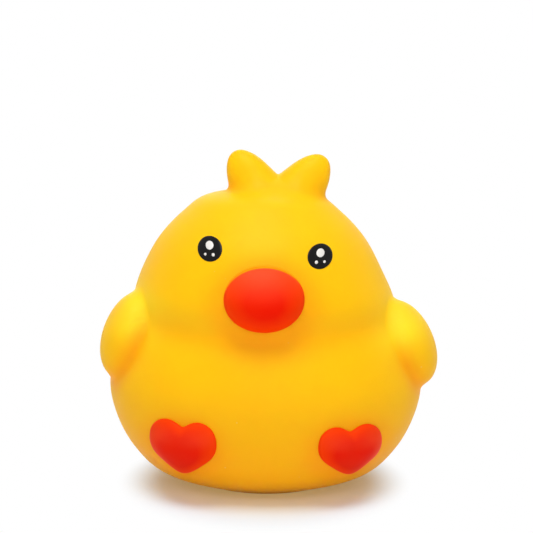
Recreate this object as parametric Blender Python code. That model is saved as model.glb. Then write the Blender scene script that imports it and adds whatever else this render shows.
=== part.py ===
"""A soft squeeze chick, cast in one piece.

The yellow body is one skin: a lofted body, two wing lobes, a crest of two
lobes and a small tail, all run together with soft fillets.
The beak, the two heart feet and the eyes are raised on the same moulding,
each wrapped onto the body's curve, and carry the sprayed colours.

The chick stands on the XY plane, faces -Y, and is symmetrical about X = 0.
All sizes are in metres.
"""
import math
from collections import namedtuple

import bmesh
import bpy
from mathutils import Matrix, Vector

# The body's own size, without wings, crest, beak and tail
BODY_HEIGHT = 0.0966
BODY_WIDTH = 0.1010
BODY_DEPTH = 0.0901

# Body sections from the table up. Each is an oval with its own reach to the
# side, a share of the body's width, and to the front and to the back, shares
# of its depth. Its rise above the one below is a share of the body's height.
Section = namedtuple("Section", "rise half_width front back")
BASE = Section(rise=0.0000, half_width=0.1931, front=0.2053, back=0.2053)
HEEL = Section(rise=0.0507, half_width=0.3307, front=0.3463, back=0.3441)
FOOT = Section(rise=0.0797, half_width=0.4188, front=0.4306, back=0.4273)
LAP = Section(rise=0.1014, half_width=0.4752, front=0.4817, back=0.4772)
BELLY = Section(rise=0.1108, half_width=0.5000, front=0.5028, back=0.4972)
CHEST = Section(rise=0.1159, half_width=0.4772, front=0.4839, back=0.4728)
CHIN = Section(rise=0.1035, half_width=0.4386, front=0.4495, back=0.4384)
CHEEK = Section(rise=0.1159, half_width=0.4030, front=0.4495, back=0.4129)
BROW = Section(rise=0.1460, half_width=0.3337, front=0.3818, back=0.3574)
CROWN = Section(rise=0.1004, half_width=0.2465, front=0.2797, back=0.2730)
CAP = Section(rise=0.0559, half_width=0.1653, front=0.1842, back=0.1831)
TOP = Section(rise=0.0197, half_width=0.0000, front=0.0000, back=0.0000)
SECTIONS = (BASE, HEEL, FOOT, LAP, BELLY, CHEST, CHIN, CHEEK, BROW, CROWN, CAP, TOP)

# Chin: a shallow fold in front between head and body, higher towards the cheeks
CHIN_HEIGHT = 0.532 * BODY_HEIGHT
CHIN_RISE = 0.050 * BODY_HEIGHT
CHIN_SPAN = 0.0050
CHIN_DEPTH = 0.0009

# Wings: egg-shaped lobes on the shoulders, their tops leaning in and forward
WING_LENGTH = 0.0296
WING_THICKNESS = 0.0163
WING_DEPTH = 0.0255
WING_TAPER = 0.06
WING_HEIGHT = 0.511 * BODY_HEIGHT
WING_SINK = 0.0005
WING_TURN = math.radians(75.0)
WING_TILT = math.radians(21.0)
WING_LEAN = math.radians(20.0)

# Crest: two lobes that part in a V on the crown
CREST_LENGTH = 0.0224
CREST_WIDTH = 0.0154
CREST_DEPTH = 0.0136
CREST_TAPER = 0.28
CREST_TILT = math.radians(32.0)
CREST_SPREAD = 0.168 * BODY_WIDTH
CREST_LIFT = 0.0022

# Tail: a small upturned lobe low on the back
TAIL_WIDTH = 0.0170
TAIL_LENGTH = 0.0190
TAIL_DEPTH = 0.0130
TAIL_TAPER = 0.35
TAIL_HEIGHT = 0.300 * BODY_HEIGHT
TAIL_TILT = math.radians(35.0)

# Beak: an oval dome with a sharp step at its rim
BEAK_WIDTH = 0.0246
BEAK_HEIGHT = 0.0199
BEAK_LEVEL = 0.683 * BODY_HEIGHT
BEAK_STEP = 0.0008
BEAK_DOME = 0.0048

# Heart feet: puffed hearts low on the front
HEART_WIDTH = 0.0206
HEART_HEIGHT = 0.0180
HEART_LEVEL = 0.184 * BODY_HEIGHT
HEART_SPREAD = 0.515 * BODY_WIDTH
HEART_STEP = 0.0010
HEART_PUFF = 0.0020
HEART_NOTCH = 0.28
HEART_NOTCH_SPAN = 0.32
HEART_SHOULDER = 0.13
HEART_SHOULDER_SPAN = 0.50
HEART_FLANK = 0.13
HEART_FLANK_SPAN = 0.55
HEART_TIP = 0.09
HEART_TIP_SPAN = 0.32

# Eyes: low discs with one large and two small dots on each
EYE_WIDTH = 0.0075
EYE_HEIGHT = 0.0070
EYE_LEVEL = 0.824 * BODY_HEIGHT
EYE_SPREAD = 0.339 * BODY_WIDTH
EYE_STEP = 0.0005
EYE_EDGE = 0.60
EYE_FACE = 0.94
EYE_MIDDLE = 0.40
DOT_STEP = 0.0008
LARGE_DOT = 0.0029
SMALL_DOT = 0.0011
LARGE_DOT_RISE = 0.0010
SMALL_DOT_DROP = 0.0020
SMALL_DOT_SPREAD = 0.0026

# Seating and mesh fineness
PAD_ROOT = 0.0030
BASE_CUT = 0.0015
BODY_SEGMENTS = 96
SPAN_STEPS = 6
LOBE_SEGMENTS = 32
BEAK_SEGMENTS = 48
HEART_SEGMENTS = 48
EYE_SEGMENTS = 28
DOT_SEGMENTS = 12
DOME_STEPS = 7
POLE_ANGLE = math.radians(5.0)
SKIN_VOXEL = 0.0014
FILLET_PASSES = 8
SKIN_KEPT = 0.175

# Finishes: linear red, green and blue, and how rough each surface is
Finish = namedtuple("Finish", "colour roughness")
YELLOW = Finish(colour=(0.98, 0.52, 0.004), roughness=0.42)
RED = Finish(colour=(0.86, 0.012, 0.001), roughness=0.38)
BLACK = Finish(colour=(0.006, 0.005, 0.005), roughness=0.25)
WHITE = Finish(colour=(0.76, 0.72, 0.67), roughness=0.30)


def clear_scene():
    """Remove every object that the file opened with."""
    for thing in list(bpy.data.objects):
        bpy.data.objects.remove(thing, do_unlink=True)


def material(name, look):
    """Give a plain Principled material of one finish."""
    made = bpy.data.materials.new(name)
    made.use_nodes = True
    shader = made.node_tree.nodes["Principled BSDF"]
    shader.inputs["Base Color"].default_value = (*look.colour, 1.0)
    shader.inputs["Roughness"].default_value = look.roughness
    made.diffuse_color = (*look.colour, 1.0)
    return made


def bump(value, middle, span):
    """Smooth bump of height one at the middle, a bell curve of the value."""
    return math.exp(-((value - middle) / span) ** 2)


def section_heights():
    """Heights of the sections above the table, summed from their rises."""
    heights = []
    total = 0.0
    for section in SECTIONS:
        total += section.rise * BODY_HEIGHT
        heights.append(total)
    return heights


def section_rows():
    """Rows of height, half width, front and back, with a row past each end.

    The row below the base carries its slope on; the row past the top mirrors
    the last section through the axis, so the crown closes as a smooth dome.
    """
    rows = [
        (z, s.half_width * BODY_WIDTH, s.front * BODY_DEPTH, s.back * BODY_DEPTH)
        for z, s in zip(section_heights(), SECTIONS)
    ]
    below = tuple(2 * a - b for a, b in zip(rows[0], rows[1]))
    past = (rows[-2][0],) + tuple(-v for v in rows[-2][1:])
    return [below] + rows + [past]


def section_at(level):
    """Section at a level, 0 at the base to the last at the top, by Catmull-Rom."""
    rows = section_rows()
    span = min(int(level), len(SECTIONS) - 2)
    t = level - span
    p0, p1, p2, p3 = rows[span:span + 4]
    return [
        0.5 * (2 * b + (c - a) * t + (2 * a - 5 * b + 4 * c - d) * t * t + (3 * b - a - 3 * c + d) * t ** 3)
        for a, b, c, d in zip(p0, p1, p2, p3)
    ]


def level_at(height):
    """Level whose section lies at a height, by halving."""
    low, high = 0.0, float(len(SECTIONS) - 1)
    for _ in range(40):
        middle = 0.5 * (low + high)
        if section_at(middle)[0] < height:
            low = middle
        else:
            high = middle
    return 0.5 * (low + high)


def chin_fold(turn, height):
    """Depth of the chin's fold: full in front, fading to the sides, a bell curve of the height."""
    middle = CHIN_HEIGHT + CHIN_RISE * math.sin(turn) ** 2
    return CHIN_DEPTH * max(0.0, math.cos(turn)) * bump(height, middle, CHIN_SPAN)


def skin_point(turn, level):
    """Point on the body: turn is the angle from the face, positive towards +X."""
    height, half_width, front, back = section_at(level)
    reach = front if math.cos(turn) > 0 else back
    fold = chin_fold(turn, height)
    return Vector(((half_width - fold) * math.sin(turn), (fold - reach) * math.cos(turn), height))


def skin_slopes(turn, level):
    """How the skin point moves for a unit of turn and for a unit of level."""
    step = 0.01
    across = (skin_point(turn + step, level) - skin_point(turn - step, level)) / (2 * step)
    along = (skin_point(turn, level + step) - skin_point(turn, level - step)) / (2 * step)
    return across, along


def on_skin(turn, level, right, up, lift):
    """Skin point behind a spot beside an anchor, seen from the front, lifted off the skin.

    The spot lies right and up from the anchor as the front view shows them.
    Newton steps on turn and level bring the skin point behind it, and the
    lift then follows the skin's own normal.
    """
    anchor = skin_point(turn, level)
    for _ in range(5):
        point = skin_point(turn, level)
        across, along = skin_slopes(turn, level)
        slopes = Matrix(((across.x, along.x), (across.z, along.z)))
        miss = Vector((anchor.x + right - point.x, anchor.z + up - point.z))
        step = slopes.inverted() @ miss
        turn += step.x
        level += step.y
    across, along = skin_slopes(turn, level)
    return skin_point(turn, level) + lift * across.cross(along).normalized()


def turn_at(distance, level):
    """Turn at which the skin lies a distance to the side of the middle."""
    return math.asin(distance / section_at(level)[1])


def loft(bm, rings):
    """Bridge rings of equal count from foot to crown and close both ends."""
    loops = [[bm.verts.new(point) for point in ring] for ring in rings]
    bm.faces.new(list(reversed(loops[0])))
    for lower, upper in zip(loops, loops[1:]):
        count = len(lower)
        for i in range(count):
            j = (i + 1) % count
            bm.faces.new((lower[i], lower[j], upper[j], upper[i]))
    bm.faces.new(loops[-1])


def lobe(bm, centre, sizes, taper, tilt, lean=0.0, turn=0.0):
    """Egg of three full sizes, slimmer towards its top.

    It is tilted about Y, leaned about X and turned about Z, in that order.
    """
    place = (
        Matrix.Translation(centre)
        @ Matrix.Rotation(turn, 4, "Z")
        @ Matrix.Rotation(lean, 4, "X")
        @ Matrix.Rotation(tilt, 4, "Y")
        @ Matrix.Diagonal((*(0.5 * size for size in sizes), 1.0))
    )
    ball = bmesh.ops.create_uvsphere(
        bm, u_segments=LOBE_SEGMENTS, v_segments=LOBE_SEGMENTS // 2, radius=1.0
    )
    for vertex in ball["verts"]:
        slim = 1.0 - taper * vertex.co.z
        vertex.co = place @ Vector((slim * vertex.co.x, slim * vertex.co.y, vertex.co.z))


def finish(bm, name, skin):
    """Turn mesh data into a named object with one material and smooth faces."""
    bmesh.ops.recalc_face_normals(bm, faces=bm.faces)
    mesh = bpy.data.meshes.new(name)
    bm.to_mesh(mesh)
    bm.free()
    mesh.materials.append(skin)
    made = bpy.data.objects.new(name, mesh)
    bpy.context.scene.collection.objects.link(made)
    made.data.shade_smooth()
    return made


def body_shell(bm):
    """Loft the body through its sections, from just under the table to the crown."""
    last = len(SECTIONS) - 1
    levels = [-BASE_CUT / (HEEL.rise * BODY_HEIGHT)]
    levels += [step / SPAN_STEPS for step in range(last * SPAN_STEPS)]
    turns = [2 * math.pi * i / BODY_SEGMENTS for i in range(BODY_SEGMENTS)]
    loft(bm, [[skin_point(turn, level) for turn in turns] for level in levels])


def wing_shells(bm):
    """Set one lobe on each shoulder, its top leaning in against the body and forward."""
    level = level_at(WING_HEIGHT)
    for side in (-1, 1):
        seat = skin_point(side * WING_TURN, level)
        outward = Vector((seat.x, seat.y, 0.0)).normalized()
        sizes = (WING_THICKNESS, WING_DEPTH, WING_LENGTH)
        lobe(bm, seat - WING_SINK * outward, sizes, WING_TAPER, -side * WING_TILT, lean=WING_LEAN)


def crest_shells(bm):
    """Raise two leaning lobes on the crown, close enough to merge at their roots."""
    top = section_heights()[-1]
    sizes = (CREST_WIDTH, CREST_DEPTH, CREST_LENGTH)
    for side in (-1, 1):
        centre = Vector((side * 0.5 * CREST_SPREAD, 0.0, top + CREST_LIFT))
        lobe(bm, centre, sizes, CREST_TAPER, side * CREST_TILT)


def tail_shell(bm):
    """Set the upturned tail lobe on the back."""
    seat = skin_point(math.pi, level_at(TAIL_HEIGHT))
    lobe(bm, seat, (TAIL_DEPTH, TAIL_WIDTH, TAIL_LENGTH), TAIL_TAPER, TAIL_TILT, turn=math.pi / 2)


def chick_skin(yellow):
    """Fuse the shells into one skin, fillet where they meet, and thin the mesh."""
    bm = bmesh.new()
    body_shell(bm)
    wing_shells(bm)
    crest_shells(bm)
    tail_shell(bm)
    skin = finish(bm, "chick_body", yellow)
    fuse = skin.modifiers.new("fuse_shells", "REMESH")
    fuse.mode = "VOXEL"
    fuse.voxel_size = SKIN_VOXEL
    fuse.use_smooth_shade = True
    fillet = skin.modifiers.new("soft_fillets", "SMOOTH")
    fillet.factor = 0.5
    fillet.iterations = FILLET_PASSES
    combine(skin, base_cutter(yellow), "DIFFERENCE")
    thin = skin.modifiers.new("thin_mesh", "DECIMATE")
    thin.ratio = SKIN_KEPT
    thin.use_symmetry = True
    thin.symmetry_axis = "X"
    return skin


def base_cutter(plain):
    """Block whose top face is the table, to cut the flat base."""
    bm = bmesh.new()
    side = 2 * BODY_WIDTH
    depth = 4 * BASE_CUT
    place = Matrix.Translation((0.0, 0.0, -0.5 * depth)) @ Matrix.Diagonal((side, side, depth, 1.0))
    bmesh.ops.create_cube(bm, size=1.0, matrix=place)
    return finish(bm, "base_cutter", plain)


def pad(bm, turn, level, outline, profile):
    """Closed relief wrapped on the skin: the outline scaled and lifted ring by ring."""
    rings = []
    for scale, lift in profile:
        rings.append([on_skin(turn, level, scale * x, scale * y, lift) for x, y in outline])
    loft(bm, rings)


def oval(width, height, segments):
    """Points round an oval, anticlockwise seen from outside."""
    angles = [2 * math.pi * i / segments for i in range(segments)]
    return [(0.5 * width * math.cos(a), 0.5 * height * math.sin(a)) for a in angles]


def heart(width, height, segments):
    """Rounded heart: an oval dented on top, full at the shoulders, flat at the flanks, drawn to a tip."""
    points = []
    for i in range(segments):
        angle = 2 * math.pi * i / segments
        from_top = abs((angle + math.pi / 2) % (2 * math.pi) - math.pi)
        reach = (
            1.0
            - HEART_NOTCH * bump(from_top, 0.0, HEART_NOTCH_SPAN)
            + HEART_SHOULDER * bump(from_top, 0.25 * math.pi, HEART_SHOULDER_SPAN)
            - HEART_FLANK * bump(from_top, 0.75 * math.pi, HEART_FLANK_SPAN)
            + HEART_TIP * bump(from_top, math.pi, HEART_TIP_SPAN)
        )
        points.append((reach * math.cos(angle), reach * math.sin(angle)))
    wide = 2 * max(x for x, y in points)
    low = min(y for x, y in points)
    tall = max(y for x, y in points) - low
    return [(x * width / wide, (y - low) * height / tall - 0.5 * height) for x, y in points]


def dome_profile(step, dome):
    """Foot under the skin, an upright step, then a quarter-round dome almost to the middle."""
    profile = [(1.0, -PAD_ROOT), (1.0, step)]
    for i in range(1, DOME_STEPS + 1):
        angle = (0.5 * math.pi - POLE_ANGLE) * i / DOME_STEPS
        profile.append((math.cos(angle), step + dome * math.sin(angle)))
    return profile


def disc_profile(step):
    """Foot under the skin, a flat top with a fine chamfer, and a ring inside it."""
    return [(1.0, -PAD_ROOT), (1.0, EYE_EDGE * step), (EYE_FACE, step), (EYE_MIDDLE, step)]


def beak(red):
    """Oval dome in the middle of the face."""
    bm = bmesh.new()
    outline = oval(BEAK_WIDTH, BEAK_HEIGHT, BEAK_SEGMENTS)
    pad(bm, 0.0, level_at(BEAK_LEVEL), outline, dome_profile(BEAK_STEP, BEAK_DOME))
    return finish(bm, "beak_relief", red)


def heart_feet(red):
    """Two puffed hearts low on the front, one on each side."""
    bm = bmesh.new()
    outline = heart(HEART_WIDTH, HEART_HEIGHT, HEART_SEGMENTS)
    level = level_at(HEART_LEVEL)
    profile = dome_profile(HEART_STEP, HEART_PUFF)
    for side in (-1, 1):
        turn = side * turn_at(0.5 * HEART_SPREAD, level)
        pad(bm, turn, level, outline, profile)
    return finish(bm, "heart_relief", red)


def eyes(black):
    """Two low discs above the beak."""
    bm = bmesh.new()
    outline = oval(EYE_WIDTH, EYE_HEIGHT, EYE_SEGMENTS)
    level = level_at(EYE_LEVEL)
    for side in (-1, 1):
        turn = side * turn_at(0.5 * EYE_SPREAD, level)
        pad(bm, turn, level, outline, disc_profile(EYE_STEP))
    return finish(bm, "eye_relief", black)


def eye_dots(white):
    """Light dots on each eye: a large one above and a small one each side below it."""
    bm = bmesh.new()
    level = level_at(EYE_LEVEL)
    spots = (
        (LARGE_DOT, 0.0, LARGE_DOT_RISE),
        (SMALL_DOT, -0.5 * SMALL_DOT_SPREAD, -SMALL_DOT_DROP),
        (SMALL_DOT, 0.5 * SMALL_DOT_SPREAD, -SMALL_DOT_DROP),
    )
    for side in (-1, 1):
        turn = side * turn_at(0.5 * EYE_SPREAD, level)
        for size, right, up in spots:
            outline = [(x + right, y + up) for x, y in oval(size, size, DOT_SEGMENTS)]
            pad(bm, turn, level, outline, ((1.0, -PAD_ROOT), (1.0, DOT_STEP)))
    return finish(bm, "dot_relief", white)


def combine(target, tool, operation):
    """Add or cut a hidden tool shape on the target, keeping the tool's colour."""
    step = target.modifiers.new(f"{operation.lower()}_{tool.name}", "BOOLEAN")
    step.object = tool
    step.operation = operation
    step.solver = "EXACT"
    step.material_mode = "TRANSFER"
    tool.hide_render = True
    tool.display_type = "WIRE"


def main():
    """Build the chick as one object, with its reliefs joined on."""
    clear_scene()
    yellow = material("yellow_skin", YELLOW)
    red = material("red_paint", RED)
    black = material("black_paint", BLACK)
    white = material("white_paint", WHITE)
    chick = chick_skin(yellow)
    for relief in (beak(red), heart_feet(red), eyes(black), eye_dots(white)):
        combine(chick, relief, "UNION")


main()
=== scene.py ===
from math import cos, pi, radians, sin

import bpy
import numpy as np
from mathutils import Matrix, Vector


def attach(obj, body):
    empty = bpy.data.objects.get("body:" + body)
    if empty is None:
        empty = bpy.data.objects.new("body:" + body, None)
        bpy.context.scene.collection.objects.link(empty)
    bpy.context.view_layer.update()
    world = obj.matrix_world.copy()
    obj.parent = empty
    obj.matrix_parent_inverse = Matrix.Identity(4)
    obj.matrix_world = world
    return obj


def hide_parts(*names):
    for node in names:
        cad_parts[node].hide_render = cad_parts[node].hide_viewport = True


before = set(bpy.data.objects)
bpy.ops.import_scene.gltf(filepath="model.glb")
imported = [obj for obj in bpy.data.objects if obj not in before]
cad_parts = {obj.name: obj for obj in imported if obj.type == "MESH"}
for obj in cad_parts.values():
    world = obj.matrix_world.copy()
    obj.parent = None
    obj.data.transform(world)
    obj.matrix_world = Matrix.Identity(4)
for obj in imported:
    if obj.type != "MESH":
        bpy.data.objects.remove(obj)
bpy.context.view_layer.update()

# The camera. A long lens a little above the chick looks slightly down on it,
# so the face, the heart feet and the tops of the wings all show. The film's width
# and the focal length are in millimetres.
VIEW_DISTANCE = 0.650
VIEW_HEIGHT = 0.0711
VIEW_RISE = radians(8.0)
VIEW_TURN = radians(-1.0)
VIEW_ROLL = radians(0.5)
FILM_WIDTH = 36.0
FOCAL_LENGTH = 134.9

lens = bpy.data.cameras.new("studio_camera")
lens.sensor_width = FILM_WIDTH
lens.lens = FOCAL_LENGTH
camera = bpy.data.objects.new("studio_camera", lens)
bpy.context.scene.collection.objects.link(camera)
level_ahead = Vector((sin(VIEW_TURN), cos(VIEW_TURN), 0.0))
ahead = cos(VIEW_RISE) * level_ahead - sin(VIEW_RISE) * Vector((0.0, 0.0, 1.0))
stand = Vector((0.0, 0.0, VIEW_HEIGHT)) - VIEW_DISTANCE * ahead
camera.matrix_world = (
    Matrix.Translation(stand)
    @ ahead.to_track_quat("-Z", "Y").to_matrix().to_4x4()
    @ Matrix.Rotation(VIEW_ROLL, 4, "Z")
)
bpy.context.scene.camera = camera


# The skin. One casting of soft yellow vinyl: the mould forms the body, both
# wings, the crest and the tail in one piece, so they run into each other in soft
# fillets. It is matt, slightly waxy, and glows a little where it is thin.

# Body sections from the table up: rise above the one below, half width, front, back
SECTIONS = np.array([
    (0.0000, 0.0195, 0.0185, 0.0185),
    (0.0049, 0.0347, 0.0316, 0.0314),
    (0.0077, 0.0431, 0.0390, 0.0387),
    (0.0098, 0.0485, 0.0434, 0.0430),
    (0.0107, 0.0508, 0.0453, 0.0448),
    (0.0112, 0.0484, 0.0436, 0.0426),
    (0.0100, 0.0445, 0.0405, 0.0395),
    (0.0112, 0.0411, 0.0405, 0.0372),
    (0.0141, 0.0342, 0.0344, 0.0322),
    (0.0097, 0.0255, 0.0252, 0.0246),
    (0.0054, 0.0171, 0.0166, 0.0165),
    (0.0019, 0.0000, 0.0000, 0.0000),
])
TOP_LEVEL = len(SECTIONS) - 1
TOP_HEIGHT = SECTIONS[:, 0].sum()


def section_at(level):
    """Height, half width, front and back at each level.

    They lie on a Catmull-Rom curve, a cubic through each pair of rows whose
    slope at a row is half the step from the row before to the row after it.
    A row below the base carries its slope on, and a row past the top mirrors
    the last section through the axis, so that the crown closes as a dome.
    """
    rows = np.column_stack([np.cumsum(SECTIONS[:, 0]), SECTIONS[:, 1:]])
    below = 2 * rows[0] - rows[1]
    past = rows[-2] * (1, -1, -1, -1)
    rows = np.vstack([below, rows, past])
    span = np.clip(level.astype(int), 0, TOP_LEVEL - 1)
    t = (level - span)[..., None]
    a, b, c, d = (rows[span + k] for k in range(4))
    square = 2 * a - 5 * b + 4 * c - d
    cube = 3 * b - a - 3 * c + d
    return 0.5 * (2 * b + (c - a) * t + square * t**2 + cube * t**3)


def smooth(share):
    """Share held between 0 and 1, eased in and out by 3 s s - 2 s s s."""
    share = np.clip(share, 0.0, 1.0)
    return share * share * (3.0 - 2.0 * share)


# The soft head leans a little to one side: none below the neck, full from the eyes up
HEAD_LEAN = -0.0015
NECK_HEIGHT = 0.049
LEAN_SPAN = 0.024


def head_lean(height):
    """How far the body's middle lies to the side at a height."""
    return HEAD_LEAN * smooth((height - NECK_HEIGHT) / LEAN_SPAN)


def body_point(turn, level):
    """Point of the body: an oval at each level, and turn is the angle from the face towards +X."""
    height, half, front, back = np.moveaxis(section_at(level), -1, 0)
    reach = np.where(np.cos(turn) > 0, front, back)
    aside = head_lean(height) + half * np.sin(turn)
    return np.stack([aside, -reach * np.cos(turn), height + 0 * turn], axis=-1)


def body_normal(turn, level, step=0.004):
    """Unit vector out of the body: the cross product of its slopes along turn and level."""
    across = body_point(turn + step, level) - body_point(turn - step, level)
    along = body_point(turn, level + step) - body_point(turn, level - step)
    out = np.cross(across, along)
    size = np.linalg.norm(out, axis=-1, keepdims=True)
    least = 1e-14
    return np.where(size > least, out / np.maximum(size, least), (0.0, 0.0, 1.0))


# An egg's taper goes on this many half sizes from its middle
TAPER_END = 1.3


def egg_gap(points, centre, sizes, taper, tilt, turn=0.0, lean=0.0, full=2.0):
    """Rough distance of each point outside an egg, negative inside.

    The egg is a ball of three full sizes, slimmer towards its top, tilted
    about Y, leaned about X and turned about Z. In units of its half sizes a
    point's size is the root of the sum of its parts, each raised to the power
    full, and the distance is that size less one, over the size's own slope.
    """
    turned = Matrix.Rotation(turn, 3, "Z") @ Matrix.Rotation(lean, 3, "X")
    axes = np.array(turned @ Matrix.Rotation(tilt, 3, "Y"))
    half = 0.5 * np.array(sizes)
    local = (points - centre) @ axes / half
    slim = 1.0 - taper * np.clip(local[..., 2:], -TAPER_END, TAPER_END)
    wide = np.concatenate([slim, slim, np.ones_like(slim)], axis=-1)
    local = np.abs(local / wide) + 1e-6
    size = np.sum(local**full, axis=-1) ** (1 / full)
    slope = (local / size[..., None]) ** (full - 1) / (half * wide)
    return (size - 1.0) / np.linalg.norm(slope, axis=-1)


def soft_least(first, second, fillet):
    """Least of two gaps, with a round fillet where they are about equal.

    The second's share grows from 0 to 1 while the first goes from a fillet
    less to a fillet more, and a fillet of both shares is taken off the mix.
    """
    share = np.clip(0.5 + 0.5 * (first - second) / fillet, 0.0, 1.0)
    return first * (1 - share) + second * share - fillet * share * (1 - share)


# Wings: thickness, depth and length of an egg that sits on the shoulder. The toy is
# a little out of true, so the wing towards +X is lower and further back.
WING_SIZES = (0.0163, 0.0255, 0.0296)
WING_TAPER = 0.06
WING_HEIGHT = 0.0490
WING_ASKEW = 0.0011
WING_SINK = 0.0005
WING_TURN = radians(78.0)
WING_ASIDE = radians(3.0)
WING_TILT = radians(21.0)
WING_ROLL = radians(-2.5)
WING_LEAN = radians(20.0)
WING_FILLET = 0.0028

# Crest: width, depth and length of its two lobes, and the web between them, which
# is thick in front and behind, thin in the middle and ends at the notch
CREST_SIZES = (0.0150, 0.0140, 0.0222)
CREST_TAPER = 0.24
CREST_FULL = 2.2
CREST_TILT = radians(34.0)
CREST_ROLL = radians(3.0)
CREST_SPREAD = 0.0170
CREST_LIFT = 0.0020
CREST_ASIDE = 0.0034
CREST_ASKEW = 0.0004
CREST_SIDE_FILLET = 0.0030
CREST_FRONT_FILLET = 0.0085
CREST_MIDDLE = 0.0060
CREST_FLANK = 0.0100
CREST_CLEFT = 0.0012
CREST_WEB = 0.0060
CREST_WEB_DEPTH = 0.0045
CREST_NOTCH = 0.1008
CREST_NOTCH_FADE = 0.0030

# Tail: depth, width and length of a small egg low on the back
TAIL_SIZES = (0.0130, 0.0170, 0.0190)
TAIL_TAPER = 0.35
TAIL_HEIGHT = 0.0290
TAIL_TILT = radians(35.0)
TAIL_FILLET = 0.0050

# Chin: the fold between head and body, which rises by the square of the way aside
CHIN_HEIGHT = 0.0514
CHIN_RISE = 3.8
CHIN_SPAN = 0.0050
CHIN_DEPTH = 0.0007
CHIN_FADE = 0.030

LEVEL_SAMPLES = 4401
level_table = np.linspace(0.0, TOP_LEVEL, LEVEL_SAMPLES)
section_table = section_at(level_table)


def bell(value, middle, span):
    """Bump of height one at the middle, a bell curve of the value."""
    return np.exp(-((value - middle) / span) ** 2)


def level_at(height):
    """Level whose section lies at a height."""
    return np.interp(height, section_table[:, 0], level_table)


def wing_seat(side):
    """Centre of a wing: its place on the shoulder, sunk a little."""
    turn = side * WING_TURN + WING_ASIDE
    seat = body_point(np.array(turn), np.array(level_at(WING_HEIGHT - side * WING_ASKEW)))
    outward = seat * (1, 1, 0)
    return seat - WING_SINK * outward / np.linalg.norm(outward)


def chin_groove(points):
    """Depth of the fold between head and body: a bell curve of the height, fading to the back."""
    middle = CHIN_HEIGHT + CHIN_RISE * points[..., 0] ** 2
    front = np.clip(0.5 - points[..., 1] / CHIN_FADE, 0.0, 1.0)
    return CHIN_DEPTH * front * bell(points[..., 2], middle, CHIN_SPAN)


def lobe_gaps(points):
    """Gaps to the wings, the crest and the tail."""
    wings = []
    crest = []
    for side in (-1, 1):
        wings.append(egg_gap(
            points, wing_seat(side), WING_SIZES, WING_TAPER,
            tilt=WING_ROLL - side * WING_TILT, lean=WING_LEAN,
        ))
        aside = CREST_ASIDE + side * 0.5 * CREST_SPREAD
        height = TOP_HEIGHT + CREST_LIFT - side * CREST_ASKEW
        crest.append(egg_gap(
            points, np.array((aside, 0.0, height)), CREST_SIZES, CREST_TAPER,
            tilt=CREST_ROLL + side * CREST_TILT, full=CREST_FULL,
        ))
    back = body_point(np.array(pi), np.array(level_at(TAIL_HEIGHT)))
    tail = egg_gap(points, back, TAIL_SIZES, TAIL_TAPER, tilt=TAIL_TILT, turn=pi / 2)
    below = smooth((CREST_NOTCH - points[..., 2]) / CREST_NOTCH_FADE)
    outer = smooth(np.abs(points[..., 1]) / CREST_WEB_DEPTH)
    web = CREST_CLEFT + (CREST_WEB - CREST_CLEFT) * below * outer
    return np.minimum(*wings), soft_least(*crest, web), tail


def crest_fillet(points):
    """The crest's fillet: wide in front and behind, tight at its two outer sides."""
    side = smooth((np.abs(points[..., 0] - CREST_ASIDE) - CREST_MIDDLE) / CREST_FLANK)
    return CREST_FRONT_FILLET + (CREST_SIDE_FILLET - CREST_FRONT_FILLET) * side


def skin_gap(points, body):
    """Gap to the whole skin: body, wings, crest and tail run together."""
    wings, crest, tail = lobe_gaps(points)
    whole = soft_least(body, wings, WING_FILLET)
    whole = soft_least(whole, crest, crest_fillet(points))
    return soft_least(whole, tail, TAIL_FILLET)


# How far the skin may lie from the bare body, and how finely that way is searched
LEAST_WAY = -0.0015
MOST_WAY = 0.0175
WAY_SAMPLES = 58
WAY_HALVINGS = 11


def pushed_out(start, ray, lean, sunk):
    """Walk along rays out of the body to the outermost place where the skin's gap is nil.

    The body's own gap grows with the way times the lean of the ray on the
    body's normal, and the skin is sunk there by the depth of the chin's fold.
    A row of samples finds the outermost change of sign, and halving closes in
    on it.
    """
    reach = np.linspace(LEAST_WAY, MOST_WAY, WAY_SAMPLES)
    inside = np.zeros(start.shape[:2], dtype=int)
    for index, way in enumerate(reach):
        gap = skin_gap(start + way * ray, way * lean + sunk)
        inside = np.where(gap < 0, index, inside)
    low = reach[inside]
    high = reach[np.minimum(inside + 1, len(reach) - 1)]
    for _ in range(WAY_HALVINGS):
        middle = 0.5 * (low + high)
        gap = skin_gap(start + middle[..., None] * ray, middle * lean + sunk)
        low = np.where(gap < 0, middle, low)
        high = np.where(gap < 0, high, middle)
    return 0.5 * (low + high)


def woven(name, shells):
    """One object from closed shells, each made of rings of points with a point at either end."""
    points, faces, base = [], [], 0
    for foot, rings, crown in shells:
        rows, columns = rings.shape[:2]
        grid = base + 1 + np.arange(rows * columns).reshape(rows, columns)
        following = np.roll(grid, -1, axis=1)
        last = base + 1 + rows * columns
        quads = np.stack([grid[:-1], following[:-1], following[1:], grid[1:]], axis=-1)
        faces += quads.reshape(-1, 4).tolist()
        faces += np.stack([following[0], grid[0], np.full(columns, base)], axis=-1).tolist()
        faces += np.stack([grid[-1], following[-1], np.full(columns, last)], axis=-1).tolist()
        points += [foot[None], rings.reshape(-1, 3), crown[None]]
        base = last + 1
    mesh = bpy.data.meshes.new(name)
    mesh.from_pydata(np.concatenate(points).tolist(), [], faces)
    mesh.shade_smooth()
    made = bpy.data.objects.new(name, mesh)
    bpy.context.scene.collection.objects.link(made)
    return made


def stored(piece, name, values):
    """Keep one number for each point of a piece, for its material to read."""
    piece.data.attributes.new(name, "FLOAT", "POINT").data.foreach_set("value", values)


SKIN_TURNS = 336
# Rows from level to level: more of them over the wings and the crest
SKIN_ROWS = ((0.0, 3.6, 32), (3.6, 7.1, 66), (7.1, 9.0, 28), (9.0, 10.0, 22), (10.0, 11.0, 92))
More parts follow.
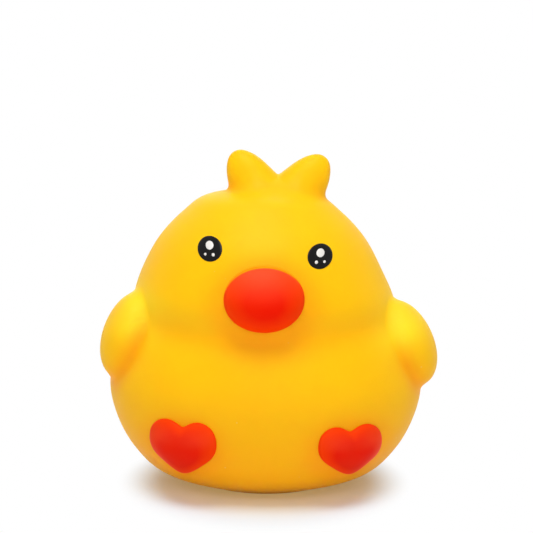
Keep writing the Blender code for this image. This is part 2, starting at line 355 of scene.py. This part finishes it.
# A ray runs from the axis through its point of the body. It starts level with that
# point, or above the fan height lower, by the square of what is past that height, so
# that the rays fan out through the crest.
FAN_HEIGHT = 0.066
FAN_DROP = 11.35
# The flat base rises inwards from its edge to a faint dish, by the square of the way,
# over this share of its half width
BASE_ROWS = 14
BASE_DISH = 0.0006
DISH_EDGE = 0.25

turns = np.linspace(0.0, 2 * pi, SKIN_TURNS, endpoint=False)
levels = np.concatenate([np.linspace(a, b, n, endpoint=False) for a, b, n in SKIN_ROWS])
turn_grid, level_grid = np.meshgrid(turns, levels)
on_body = body_point(turn_grid, level_grid)
height = on_body[..., 2]
axis_height = height - FAN_DROP * np.clip(height - FAN_HEIGHT, 0.0, None) ** 2
from_axis = on_body - np.stack([head_lean(height), 0 * height, axis_height], axis=-1)
rays = from_axis / np.linalg.norm(from_axis, axis=-1, keepdims=True)
lean = np.sum(rays * body_normal(turn_grid, level_grid), axis=-1)
ways = pushed_out(on_body, rays, lean, chin_groove(on_body))
skin_rings = on_body + ways[..., None] * rays

# The one point on top is pushed straight up
tip = np.array([[(HEAD_LEAN, 0.0, TOP_HEIGHT)]])
up = np.array([[(0.0, 0.0, 1.0)]])
crown = tip + pushed_out(tip, up, np.ones((1, 1)), 0.0)[..., None] * up

share = np.linspace(0.0, 1.0, BASE_ROWS, endpoint=False)[1:, None]
base_rings = skin_rings[:1] * share[..., None]
base_rings[..., 2] = BASE_DISH * np.clip((1.0 - share) / DISH_EDGE, 0.0, 1.0) ** 2
rings = np.concatenate([base_rings, skin_rings])
skin = woven("vinyl_skin", [(np.array((0.0, 0.0, BASE_DISH)), rings, crown[0, 0])])

# Round the beak and the heart feet the skin turns orange in a faint halo, partly overspray from the
# red and partly painted shade and bounced red light: place aside and height, half width and height,
# and strength
HALO_SPOTS = (
    (0.0, 0.0640, 0.0135, 0.0110, 1.0),
    (-0.0251, 0.0181, 0.0100, 0.0085, 0.8),
    (0.0269, 0.0181, 0.0100, 0.0085, 0.8),
)
HALO_REACH = 0.0042


def halo(points):
    """Nearness to the painted reliefs: a bell curve of the way outside an oval, in front only."""
    most = np.zeros(points.shape[:-1])
    for x, z, wide, tall, strength in HALO_SPOTS:
        away = np.hypot((points[..., 0] - x) / wide, (points[..., 2] - z) / tall) - 1.0
        near = bell(np.clip(away, 0.0, None) * tall, 0.0, HALO_REACH)
        most = np.maximum(most, strength * near)
    return most * (points[..., 1] < 0.0)


# Painted shade in the creases, a deeper colour: full along the lower part of a wing, faint above
# it, and weaker round the crest, the tail and the chin
WING_CREASE_TOP = 0.0563
WING_CREASE_ASKEW = 0.0048
WING_CREASE_FADE = 0.009
WING_CREASE_LEAST = 0.10
WING_CREASE_SPAN = 0.0038
SMALL_CREASE_SPAN = 0.0030
CREST_CREASE = 0.45
TAIL_CREASE = 0.70
CHIN_CREASE = 0.35


def crease(body, lobe, span):
    """Nearness to the line where two forms meet: a bell curve of the larger of their gaps."""
    return bell(np.maximum(np.maximum(body, lobe), 0.0), 0.0, span)


def painted_crease_shade(points, body):
    """Painted crease shade: the strongest of the creases at each point."""
    wings, crest, tail = lobe_gaps(points)
    top = WING_CREASE_TOP - WING_CREASE_ASKEW * np.sign(points[..., 0])
    low = np.clip((top - points[..., 2]) / WING_CREASE_FADE, WING_CREASE_LEAST, 1.0)
    return np.maximum.reduce([
        low * crease(body, wings, WING_CREASE_SPAN),
        CREST_CREASE * crease(body, crest, SMALL_CREASE_SPAN),
        TAIL_CREASE * crease(body, tail, SMALL_CREASE_SPAN),
        CHIN_CREASE * chin_groove(points) / CHIN_DEPTH,
    ])


# Painted highlight on the upper front of each wing, where light from above falls: a lighter yellow
WING_HIGHLIGHT_SPOTS = ((-0.0412, 0.0584), (0.0440, 0.0564))
WING_HIGHLIGHT_REACH = 0.0074
WING_HIGHLIGHT_FADE = 0.012


def highlight_on_wings(points):
    """Painted highlight on the wings: a bell curve of the way from its spots, fading to the back.
    """
    away = np.minimum(*(np.hypot(points[..., 0] - x, points[..., 2] - z) for x, z in WING_HIGHLIGHT_SPOTS))
    return bell(away, 0.0, WING_HIGHLIGHT_REACH) * np.clip(0.5 - points[..., 1] / WING_HIGHLIGHT_FADE, 0.0, 1.0)


body_gap = ways * lean + chin_groove(on_body)
under_base = np.zeros(1 + base_rings[..., 0].size)
# Marks kept on the skin: painted shade in the creases, a painted highlight on the wings, and the
# halo
marks = {
    "fold": painted_crease_shade(skin_rings, body_gap),
    "wing_highlight": highlight_on_wings(skin_rings),
    "halo": halo(skin_rings),
}
for name, values in marks.items():
    stored(skin, name, np.concatenate([under_base, values.ravel(), [0.0]]))


def put(tree, kind, feeds=(), **settings):
    """Add a node, set its properties, and feed its sockets with values or other sockets."""
    made = tree.nodes.new(kind)
    for name, value in settings.items():
        setattr(made, name, value)
    for name, value in dict(feeds).items():
        if isinstance(value, bpy.types.NodeSocket):
            tree.links.new(value, made.inputs[name])
        else:
            made.inputs[name].default_value = value
    return made


def reckoned(tree, operation, *values):
    """Result of a Math node on numbers or sockets."""
    return put(tree, "ShaderNodeMath", enumerate(values), operation=operation).outputs[0]


def graded(tree, value, low, high, start, end):
    """A value carried from one range to another, held at its ends."""
    ranged = put(tree, "ShaderNodeMapRange", {
        "Value": value, "From Min": low, "From Max": high, "To Min": start, "To Max": end,
    })
    return ranged.outputs["Result"]


def new_group(name, takes, gives):
    """Start a shader node group with named number inputs and outputs."""
    group = bpy.data.node_groups.new(name, "ShaderNodeTree")
    for label, value in takes:
        made = group.interface.new_socket(label, in_out="INPUT", socket_type="NodeSocketFloat")
        made.default_value = value
    for label in gives:
        group.interface.new_socket(label, in_out="OUTPUT", socket_type="NodeSocketFloat")
    return group, group.nodes.new("NodeGroupInput"), group.nodes.new("NodeGroupOutput")


def moulded_surface():
    """Group for moulded vinyl: a fine orange-peel height, slow clouds, and small dust specks."""
    group, source, result = new_group(
        "moulded_surface",
        (("Peel Scale", 900.0), ("Cloud Scale", 60.0), ("Speck Scale", 260.0)),
        ("Height", "Cloud", "Speck"),
    )
    place = put(group, "ShaderNodeTexCoord").outputs["Object"]
    peel = put(group, "ShaderNodeTexNoise", {
        "Vector": place, "Scale": source.outputs["Peel Scale"], "Detail": 3.0, "Roughness": 0.55,
    })
    cloud = put(group, "ShaderNodeTexNoise", {
        "Vector": place, "Scale": source.outputs["Cloud Scale"], "Detail": 4.0,
        "Roughness": 0.5, "Distortion": 0.3,
    })
    cells = put(group, "ShaderNodeTexVoronoi", {
        "Vector": place, "Scale": source.outputs["Speck Scale"], "Randomness": 1.0,
    }, feature="F1")
    # A speck is a dot in the middle of a cell, in about one cell of twelve
    dot = graded(group, cells.outputs["Distance"], 0.09, 0.03, 0.0, 1.0)
    chance = put(group, "ShaderNodeSeparateColor", {"Color": cells.outputs["Color"]})
    chosen = graded(group, chance.outputs["Red"], 0.90, 0.93, 0.0, 1.0)
    speck = reckoned(group, "MULTIPLY", dot, chosen)
    group.links.new(peel.outputs["Fac"], result.inputs["Height"])
    group.links.new(cloud.outputs["Fac"], result.inputs["Cloud"])
    group.links.new(speck, result.inputs["Speck"])
    return group


moulded = moulded_surface()


def new_finish(name, **constants):
    """Start a material with a Principled shader whose plain numbers are set on its own sockets."""
    made = bpy.data.materials.new(name)
    made.use_nodes = True
    shader = made.node_tree.nodes["Principled BSDF"]
    for label, value in constants.items():
        shader.inputs[label.replace("_", " ")].default_value = value
    return made, made.node_tree, shader


# Ranges of the clouds' values over which a colour changes, and a roughness
CLOUD_RANGE = (0.35, 0.65)
ROUGH_RANGE = (0.3, 0.7)


def uneven(tree, shader, surface, roughness, depth):
    """Roughness that follows the clouds between two values, and a peel of a depth in metres."""
    rough = graded(tree, surface["Cloud"], *ROUGH_RANGE, *roughness)
    tree.links.new(rough, shader.inputs["Roughness"])
    bump = put(tree, "ShaderNodeBump", {"Height": surface["Height"], "Distance": depth})
    tree.links.new(bump.outputs["Normal"], shader.inputs["Normal"])


def mixed(tree, share, first, second):
    """Colour mix of two colours, or colour sockets, by a share."""
    return put(tree, "ShaderNodeMix", {0: share, 6: first, 7: second}, data_type="RGBA").outputs[2]


def laid_over(tree, colour, over, value, low, high, start, end):
    """A colour with another over it, by a share that goes from start to end with a value."""
    return mixed(tree, graded(tree, value, low, high, start, end), colour, over)


def kept(tree, name):
    """The number stored on the piece's points under a name."""
    found = put(tree, "ShaderNodeAttribute", attribute_name=name, attribute_type="GEOMETRY")
    return found.outputs["Fac"]


def spot_height(tree):
    """Height of each spot over the table."""
    place = put(tree, "ShaderNodeTexCoord").outputs["Object"]
    return put(tree, "ShaderNodeSeparateXYZ", {"Vector": place}).outputs["Z"]


# Colours of the vinyl, and how strongly each lies over the yellow where it shows. The honey low
# down and the amber in the folds are painted shade, the light yellow on the wing tops is a painted
# highlight, and the orange halo is partly painted shade
YELLOW = (0.990, 0.512, 0.001, 1.0)
LEMON = (0.990, 0.550, 0.002, 1.0)
AMBER = (0.985, 0.300, 0.001, 1.0)
ORANGE = (0.970, 0.170, 0.001, 1.0)
LOW_SHADE_HONEY = (0.810, 0.280, 0.002, 1.0)
HIGHLIGHT_YELLOW = (0.990, 0.800, 0.030, 1.0)
DUST = (0.92, 0.80, 0.45, 1.0)
LEMON_SHARE = 0.50
LOW_SHADE_SHARE = 0.62
LOW_SHADE_TOP = 0.042
WING_HIGHLIGHT_SHARE = 0.85
CREASE_SHADE_SHARE = 0.65
ORANGE_SHARE = 0.30
DUST_SHARE = 0.25
PEEL_DEPTH = 0.00004


def yellow_vinyl():
    """Yellow vinyl: lemon clouds, painted shade low down and in the folds, a painted highlight on
    the wing tops, and an orange halo, partly overspray and partly painted shade.
    """
    made, tree, shader = new_finish(
        "yellow_vinyl",
        Specular_IOR_Level=0.10, Subsurface_Weight=0.30, Subsurface_Scale=0.0035,
        Subsurface_Radius=(1.0, 0.45, 0.08),
    )
    surface = put(tree, "ShaderNodeGroup", node_tree=moulded).outputs
    colour = laid_over(tree, YELLOW, LEMON, surface["Cloud"], *CLOUD_RANGE, 0.0, LEMON_SHARE)
    # Painted shade: honey over the yellow, more of it towards the bottom
    colour = laid_over(tree, colour, LOW_SHADE_HONEY, spot_height(tree), LOW_SHADE_TOP, 0.0, 0.0, LOW_SHADE_SHARE)
    # Painted highlight on the wing tops, painted shade in the folds, and the orange halo, partly
    # overspray and partly painted shade
    for name, most, over in (
        ("wing_highlight", WING_HIGHLIGHT_SHARE, HIGHLIGHT_YELLOW), ("fold", CREASE_SHADE_SHARE, AMBER), ("halo", ORANGE_SHARE, ORANGE),
    ):
        colour = laid_over(tree, colour, over, kept(tree, name), 0.0, 1.0, 0.0, most)
    colour = laid_over(tree, colour, DUST, surface["Speck"], 0.0, 1.0, 0.0, DUST_SHARE)
    tree.links.new(colour, shader.inputs["Base Color"])
    uneven(tree, shader, surface, roughness=(0.44, 0.54), depth=PEEL_DEPTH)
    return made


skin.data.materials.append(yellow_vinyl())
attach(skin, "root")
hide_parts("chick_body")


# The beak. An oval dome of the same vinyl, moulded on the face and sprayed red
# through a mask, which sits a hair too low and to the right, so a thin rim at the
# upper left stays yellow.
BEAK_WIDTH = 0.0246
BEAK_HEIGHT = 0.0199
BEAK_LEVEL = 0.0662
BEAK_DOME = 0.0056
BEAK_FULLNESS = 2.15
BEAK_ROWS = 44
BEAK_COLUMNS = 128


def face_depth(x, z):
    """Depth of the face at spots of the front view: minus the front reach of the oval there."""
    half = np.interp(z, section_table[:, 0], section_table[:, 1])
    front = np.interp(z, section_table[:, 0], section_table[:, 2])
    return -front * np.sqrt(np.clip(1.0 - ((x - head_lean(z)) / half) ** 2, 0.0, None))


def on_face(x, z, lift):
    """Spots of the front view laid on the face and lifted off it along its normal."""
    step = 0.0002
    y = face_depth(x, z)
    slope_x = (face_depth(x + step, z) - face_depth(x - step, z)) / (2 * step)
    slope_z = (face_depth(x, z + step) - face_depth(x, z - step)) / (2 * step)
    out = np.stack([slope_x, -np.ones_like(y), slope_z], axis=-1)
    out /= np.linalg.norm(out, axis=-1, keepdims=True)
    return np.stack([x, y, z], axis=-1) + lift[..., None] * out


# A relief starts under the skin with two rings, each a little wider than its outline
ROOT_DEPTHS = (0.0006, 0.00018)
ROOT_SHARES = (1.015, 1.004)


def domed(rows, dome, fullness):
    """Share of the outline and lift, row by row: from the root, over the rim, to the crown.

    Past the root the rows follow a superellipse, so the rim rises steeply
    and the top is round.
    """
    angle = np.linspace(0.0, 0.5 * pi, rows)[:-1]
    share = np.concatenate([ROOT_SHARES, np.cos(angle) ** (2 / fullness)])
    lift = np.concatenate([np.negative(ROOT_DEPTHS), dome * np.sin(angle) ** (2 / fullness)])
    return share[:, None], lift[:, None]


def oval_outline(width, height, columns):
    """Points round an oval: half its width times the cosine, half its height times the sine."""
    angles = np.linspace(0.0, 2 * pi, columns, endpoint=False)
    return 0.5 * width * np.cos(angles), 0.5 * height * np.sin(angles)


def relief(centre_x, centre_z, across, upward, share, lift):
    """Closed relief on the face: an outline scaled ring by ring and lifted."""
    shape = np.broadcast_shapes(share.shape, across.shape)
    lift = np.broadcast_to(lift, shape)
    rings = on_face(centre_x + share * across, centre_z + share * upward, lift)
    middle = np.array([[centre_x]]), np.array([[centre_z]])
    foot = on_face(*middle, lift[:1, :1])[0, 0]
    crown = on_face(*middle, lift[-1:, :1])[0, 0]
    return foot, rings, crown


outline = oval_outline(BEAK_WIDTH, BEAK_HEIGHT, BEAK_COLUMNS)
dome = domed(BEAK_ROWS, BEAK_DOME, BEAK_FULLNESS)
beak = woven("painted_beak", [relief(0.0, BEAK_LEVEL, *outline, *dome)])


def mesh_points(piece):
    """The piece's points as an array."""
    flat = np.empty(3 * len(piece.data.vertices))
    piece.data.vertices.foreach_get("co", flat)
    return flat.reshape(-1, 3)


# The mask's opening is a hair larger than the beak and off its middle, and a soft spot on the
# beak's upper side is painted lighter, a highlight where light from above falls
MASK_SIZE = 1.03
MASK_ASIDE = 0.00022
MASK_DROP = 0.00030
BEAK_HIGHLIGHT = 0.85
BEAK_HIGHLIGHT_FLOOR = -0.0025
BEAK_HIGHLIGHT_RISE = 0.0115
BEAK_HIGHLIGHT_ASIDE = -0.0010
BEAK_HIGHLIGHT_SPAN = 0.0105

spots = mesh_points(beak) - (0.0, 0.0, BEAK_LEVEL)
masked = np.hypot(
    (spots[:, 0] - MASK_ASIDE) / (0.5 * BEAK_WIDTH), (spots[:, 2] + MASK_DROP) / (0.5 * BEAK_HEIGHT)
)
stored(beak, "paint", (MASK_SIZE - masked) * 0.5 * BEAK_HEIGHT)
upper = smooth((spots[:, 2] - BEAK_HIGHLIGHT_FLOOR) / BEAK_HIGHLIGHT_RISE)
stored(beak, "light", BEAK_HIGHLIGHT * upper * bell(spots[:, 0], BEAK_HIGHLIGHT_ASIDE, BEAK_HIGHLIGHT_SPAN))

# Colours of the paint: deeper low down as painted shade, orange for some way in from its edge, and
# lighter where a highlight is painted
RED = (0.830, 0.0065, 0.0003, 1.0)
SHADE_RED = (0.640, 0.011, 0.0020, 1.0)
RIM_RED = (0.930, 0.056, 0.0005, 1.0)
HIGHLIGHT_RED = (0.960, 0.082, 0.0280, 1.0)
SHADE_FROM = 0.026
SHADE_TO = 0.008
RIM_REACH = 0.0058
RIM_SHARE = 0.85
RIM_CLOUDS = 0.12
HIGHLIGHT_SHARE = 0.90
PAINT_DUST = 0.20
BARE_EDGE = -0.00010
PAINTED_EDGE = 0.00015
PAINT_PEEL_DEPTH = 0.00003


def red_paint():
    """Sprayed red over the yellow vinyl, by the depth in from the mask's edge."""
    made, tree, shader = new_finish(
        "red_spray",
        Specular_IOR_Level=0.02, Subsurface_Weight=0.12, Subsurface_Scale=0.0020,
        Subsurface_Radius=(1.0, 0.25, 0.08),
    )
    surface = put(tree, "ShaderNodeGroup", {"Peel Scale": 1400.0}, node_tree=moulded).outputs
    depth = kept(tree, "paint")
    # Painted shade: darker red towards the bottom of the hearts
    colour = laid_over(tree, RED, SHADE_RED, spot_height(tree), SHADE_FROM, SHADE_TO, 0.0, 1.0)
    colour = laid_over(tree, colour, RIM_RED, depth, 0.0, RIM_REACH, RIM_SHARE, 0.0)
    colour = laid_over(tree, colour, RIM_RED, surface["Cloud"], *CLOUD_RANGE, 0.0, RIM_CLOUDS)
    # Painted highlight on the upper side of the beak and of the heart lobes
    colour = laid_over(tree, colour, HIGHLIGHT_RED, kept(tree, "light"), 0.0, 1.0, 0.0, HIGHLIGHT_SHARE)
    colour = laid_over(tree, AMBER, colour, depth, BARE_EDGE, PAINTED_EDGE, 0.0, 1.0)
    colour = laid_over(tree, colour, DUST, surface["Speck"], 0.0, 1.0, 0.0, PAINT_DUST)
    tree.links.new(colour, shader.inputs["Base Color"])
    uneven(tree, shader, surface, roughness=(0.34, 0.44), depth=PAINT_PEEL_DEPTH)
    return made


red_spray = red_paint()
beak.data.materials.append(red_spray)
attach(beak, "root")
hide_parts("chick_body")


# The feet. Two puffed hearts of the same vinyl, moulded low on the front and
# sprayed like the beak. Each has two full lobes, straight flanks and a round tip.
HEART_WIDTH = 0.0206
HEART_HEIGHT = 0.0180
HEART_LEVEL = 0.0184
HEART_SPREAD = 0.0520
HEART_ASIDE = 0.0011
HEART_ASKEW = 0.0003
HEART_UNEVEN = 0.035
HEART_PUFF = 0.0030
HEART_FULLNESS = 2.5
HEART_CORE = 0.82
HEART_ROUNDING = 1.2
HEART_ROWS = 40
HEART_COLUMNS = 160
# How deep or full the outline is at the notch, the shoulders, the flanks and the tip,
# and how wide each of these is as an angle
NOTCH, NOTCH_SPAN = 0.28, 0.32
SHOULDER, SHOULDER_SPAN = 0.13, 0.50
FLANK, FLANK_SPAN = 0.13, 0.55
TIP, TIP_SPAN = 0.09, 0.32
LOBE_OFFSET = 0.0050
LOBE_RISE = 0.0022
LOBE_SPAN = 0.0046
LOBE_SWELL = 0.34


def heart_outline(angle):
    """Rounded heart: a circle less bells at notch and flanks, plus bells at shoulders and tip."""
    from_top = np.abs((angle + pi / 2) % (2 * pi) - pi)
    reach = (
        1.0
        - NOTCH * bell(from_top, 0.0, NOTCH_SPAN)
        + SHOULDER * bell(from_top, pi / 4, SHOULDER_SPAN)
        - FLANK * bell(from_top, 3 * pi / 4, FLANK_SPAN)
        + TIP * bell(from_top, pi, TIP_SPAN)
    )
    across, upward = reach * np.cos(angle), reach * np.sin(angle)
    low, tall = upward.min(), np.ptp(upward)
    across = across * HEART_WIDTH / np.ptp(across)
    return across, (upward - low) * HEART_HEIGHT / tall - 0.5 * HEART_HEIGHT


angles = np.linspace(0.0, 2 * pi, HEART_COLUMNS, endpoint=False)
across, upward = heart_outline(angles)
share, lift = domed(HEART_ROWS, HEART_PUFF, HEART_FULLNESS)
# The rings grow rounder towards the crown, so the notch fades out
plain = 0.5 * HEART_HEIGHT * HEART_CORE
kept_shape = np.clip(share, 0.0, 1.0) ** HEART_ROUNDING
ring_x = share * (kept_shape * across + (1 - kept_shape) * plain * np.cos(angles))
ring_z = share * (kept_shape * upward + (1 - kept_shape) * plain * np.sin(angles))
# Each lobe swells a little more than the valley between them
lobes = sum(
    bell(np.hypot(ring_x - side * LOBE_OFFSET, ring_z - LOBE_RISE), 0.0, LOBE_SPAN)
    for side in (-1, 1)
)
swollen = np.where(lift > 0, lift * (1.0 - 0.5 * LOBE_SWELL + LOBE_SWELL * lobes), lift)
hearts = woven("heart_feet", [
    relief(
        HEART_ASIDE + side * 0.5 * HEART_SPREAD, HEART_LEVEL - side * HEART_ASKEW,
        ring_x, ring_z, np.full_like(share, 1 - side * HEART_UNEVEN), swollen,
    )
    for side in (-1, 1)
])
# How deep in from the paint's edge each point lies, a little less in the notch, and the painted
# highlight on the upper side of the lobes
PAINT_DEPTH = 0.8 * HEART_HEIGHT
PAINT_MARGIN = 0.0003
NOTCH_MISS = 0.0002
NOTCH_MISS_SPAN = 0.4
LOBE_HIGHLIGHT = 0.50
LOBE_HIGHLIGHT_FROM = 0.0005
LOBE_HIGHLIGHT_RISE = 0.0055
missed = NOTCH_MISS * bell(angles, pi / 2, NOTCH_MISS_SPAN)
depth = (1.0 - share) * PAINT_DEPTH + PAINT_MARGIN - missed
stored(hearts, "paint", np.tile(np.concatenate([[0.0], depth.ravel(), [PAINT_DEPTH]]), 2))
lobe_highlight = LOBE_HIGHLIGHT * lobes * smooth((ring_z - LOBE_HIGHLIGHT_FROM) / LOBE_HIGHLIGHT_RISE)
stored(hearts, "light", np.tile(np.concatenate([[0.0], lobe_highlight.ravel(), [0.0]]), 2))
hearts.data.materials.append(red_spray)
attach(hearts, "root")
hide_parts("chick_body")


# The eyes. Round spots of thick glossy black paint, printed on low raised discs of
# the vinyl above the beak. One sits a little higher than the other.
EYE_WIDTH = 0.0078
EYE_HEIGHT = 0.0073
EYE_LEVEL = 0.0796
EYE_SPREAD = 0.0342
EYE_ASKEW = 0.0010
EYE_LIFT = 0.00032
EYE_FULLNESS = 3.4
EYE_ROWS = 16
EYE_COLUMNS = 64

outline = oval_outline(EYE_WIDTH, EYE_HEIGHT, EYE_COLUMNS)
dome = domed(EYE_ROWS, EYE_LIFT, EYE_FULLNESS)
eyes = woven("eye_spots", [
    relief(side * 0.5 * EYE_SPREAD, EYE_LEVEL - side * EYE_ASKEW, *outline, *dome)
    for side in (-1, 1)
])

INK = (0.004, 0.0035, 0.0035, 1.0)
WORN_INK = (0.009, 0.008, 0.008, 1.0)
PRINT_PEEL_SCALE = 1800.0
PRINT_PEEL_DEPTH = 0.00001


def printed(name, first, second, specular, cloud_scale, roughness):
    """Thick printed paint: two like colours in slow clouds, with a smooth, faintly uneven face."""
    made, tree, shader = new_finish(name, Specular_IOR_Level=specular)
    surface = put(tree, "ShaderNodeGroup", {
        "Peel Scale": PRINT_PEEL_SCALE, "Cloud Scale": cloud_scale,
    }, node_tree=moulded).outputs
    tree.links.new(mixed(tree, surface["Cloud"], first, second), shader.inputs["Base Color"])
    uneven(tree, shader, surface, roughness, depth=PRINT_PEEL_DEPTH)
    return made


eyes.data.materials.append(printed(
    "black_gloss", INK, WORN_INK, specular=0.10, cloud_scale=220.0, roughness=(0.16, 0.24),
))
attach(eyes, "root")
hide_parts("chick_body")


# The eye dots. Drops of thick white paint, printed over the black: a large one
# above the middle of each eye and two small ones below it.
LARGE_DOT = 0.0028
INNER_DOT = 0.0011
OUTER_DOT = 0.0009
LARGE_DOT_RISE = 0.0009
SMALL_DOT_DROP = 0.0017
SMALL_DOT_SPREAD = 0.0025
DOT_LIFT = 0.00055
DOT_FULLNESS = 2.4
DOT_ROWS = 10
DOT_COLUMNS = 32
CREAM = (0.72, 0.68, 0.64, 1.0)
CHALK = (0.80, 0.76, 0.72, 1.0)

dome = domed(DOT_ROWS, DOT_LIFT, DOT_FULLNESS)
dots = []
for side in (-1, 1):
    for size, outward, rise in (
        (LARGE_DOT, 0.0, LARGE_DOT_RISE),
        (INNER_DOT, -0.5 * SMALL_DOT_SPREAD, -SMALL_DOT_DROP),
        (OUTER_DOT, 0.5 * SMALL_DOT_SPREAD, -SMALL_DOT_DROP),
    ):
        dots.append(relief(
            side * (0.5 * EYE_SPREAD + outward), EYE_LEVEL - side * EYE_ASKEW + rise,
            *oval_outline(size, size, DOT_COLUMNS), *dome,
        ))
eye_dots = woven("eye_dots", dots)
eye_dots.data.materials.append(printed(
    "white_paint", CREAM, CHALK, specular=0.35, cloud_scale=400.0, roughness=(0.28, 0.38),
))
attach(eye_dots, "root")
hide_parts("chick_body")


# The studio. A white table that runs off into a white ground, and soft lamps overhead, in front and
# behind. Round the chick's foot the table glows warm, painted light for light through the vinyl,
# and the camera sees it darker and cooler, painted shade.
TABLE_SIDE = 3.0
TABLE_BOUNCE = (0.92, 0.97, 0.98, 1.0)
TABLE_SHADE_SEEN = (0.70, 0.81, 0.90, 1.0)
# The lit table gives way to the white ground between two reaches, sooner at the sides; inside them
# the camera sees the table darker and cooler than the light it bounces, painted shade round the
# foot over its real shadow
NEAR_REACH = 0.044
FAR_REACH = 0.066
SIDE_SHARE = 1.35
PAINTED_GLOW_REACH = 0.0345
PAINTED_GLOW_STRENGTH = 0.47
PAINTED_GLOW = (1.0, 0.62, 0.20, 1.0)
WHITE = (1.0, 1.0, 1.0, 1.0)
AIR_STRENGTH = 0.52


def seen_directly(tree):
    """1 for rays from the camera, and for mirrored and transmitted ones."""
    rays = put(tree, "ShaderNodeLightPath").outputs
    seen = reckoned(tree, "MAXIMUM", rays["Is Camera Ray"], rays["Is Glossy Ray"])
    return reckoned(tree, "MAXIMUM", seen, rays["Is Transmission Ray"])


table_mesh = bpy.data.meshes.new("white_table")
half = 0.5 * TABLE_SIDE
corners = [(-half, -half, 0), (half, -half, 0), (half, half, 0), (-half, half, 0)]
table_mesh.from_pydata(corners, [], [(0, 1, 2, 3)])
table = bpy.data.objects.new("white_table", table_mesh)
bpy.context.scene.collection.objects.link(table)
paper = bpy.data.materials.new("white_paper")
paper.use_nodes = True
tree = paper.node_tree
tree.nodes.clear()
place = put(tree, "ShaderNodeTexCoord").outputs["Object"]
oval = put(tree, "ShaderNodeVectorMath", {
    0: place, 1: (SIDE_SHARE, 1.0, 1.0),
}, operation="MULTIPLY")
reach = put(tree, "ShaderNodeVectorMath", {0: oval.outputs[0]}, operation="LENGTH").outputs["Value"]
far = put(tree, "ShaderNodeMapRange", {
    "Value": reach, "From Min": NEAR_REACH, "From Max": FAR_REACH,
}, interpolation_type="SMOOTHSTEP").outputs["Result"]
seen = seen_directly(tree)
share = reckoned(tree, "MULTIPLY", far, seen)
# Painted shade: to the camera the table near the chick has a darker, cooler colour than for bounced
# light
matt = put(tree, "ShaderNodeBsdfDiffuse", {
    "Color": mixed(tree, seen, TABLE_BOUNCE, TABLE_SHADE_SEEN),
}).outputs[0]
# The painted glow is a bell curve of the distance from the middle of the foot
near = put(tree, "ShaderNodeVectorMath", {0: place}, operation="LENGTH").outputs["Value"]
ratio = reckoned(tree, "DIVIDE", near, PAINTED_GLOW_REACH)
falling = reckoned(tree, "MULTIPLY", reckoned(tree, "MULTIPLY", ratio, ratio), -1.0)
painted_glow_share = reckoned(tree, "MULTIPLY", reckoned(tree, "EXPONENT", falling), seen)
strength = reckoned(tree, "MULTIPLY", painted_glow_share, PAINTED_GLOW_STRENGTH)
painted_glow_shader = put(tree, "ShaderNodeEmission", {"Color": PAINTED_GLOW, "Strength": strength}).outputs[0]
lit = put(tree, "ShaderNodeAddShader", {0: matt, 1: painted_glow_shader}).outputs[0]
white = put(tree, "ShaderNodeEmission", {"Color": WHITE, "Strength": 1.0}).outputs[0]
blend = put(tree, "ShaderNodeMixShader", {0: share, 1: lit, 2: white}).outputs[0]
put(tree, "ShaderNodeOutputMaterial", {"Surface": blend})
table.data.materials.append(paper)

world = bpy.data.worlds.new("studio_air")
bpy.context.scene.world = world
world.use_nodes = True
tree = world.node_tree
tree.nodes.clear()
air = put(tree, "ShaderNodeBackground", {"Color": WHITE, "Strength": AIR_STRENGTH}).outputs[0]
ground = put(tree, "ShaderNodeBackground", {"Color": WHITE, "Strength": 1.0}).outputs[0]
blend = put(tree, "ShaderNodeMixShader", {0: seen_directly(tree), 1: air, 2: ground}).outputs[0]
put(tree, "ShaderNodeOutputWorld", {"Surface": blend})

LAMP_TARGET = (0.0, 0.0, 0.05)


def soft_lamp(name, place, side, power):
    """Square lamp of soft white light, aimed at the middle of the chick."""
    lamp = bpy.data.lights.new(name, "AREA")
    lamp.shape = "SQUARE"
    lamp.size = side
    lamp.energy = power
    made = bpy.data.objects.new(name, lamp)
    bpy.context.scene.collection.objects.link(made)
    aim = (Vector(LAMP_TARGET) - Vector(place)).to_track_quat("-Z", "Y")
    made.matrix_world = Matrix.Translation(place) @ aim.to_matrix().to_4x4()


soft_lamp("overhead_lamp", place=(-0.02, -0.20, 0.80), side=0.42, power=3.7)
soft_lamp("front_lamp", place=(0.10, -1.20, 0.55), side=1.00, power=3.4)
soft_lamp("back_lamp", place=(-0.10, 1.20, 0.60), side=1.00, power=2.2)

bpy.context.scene.view_settings.view_transform = "Standard"
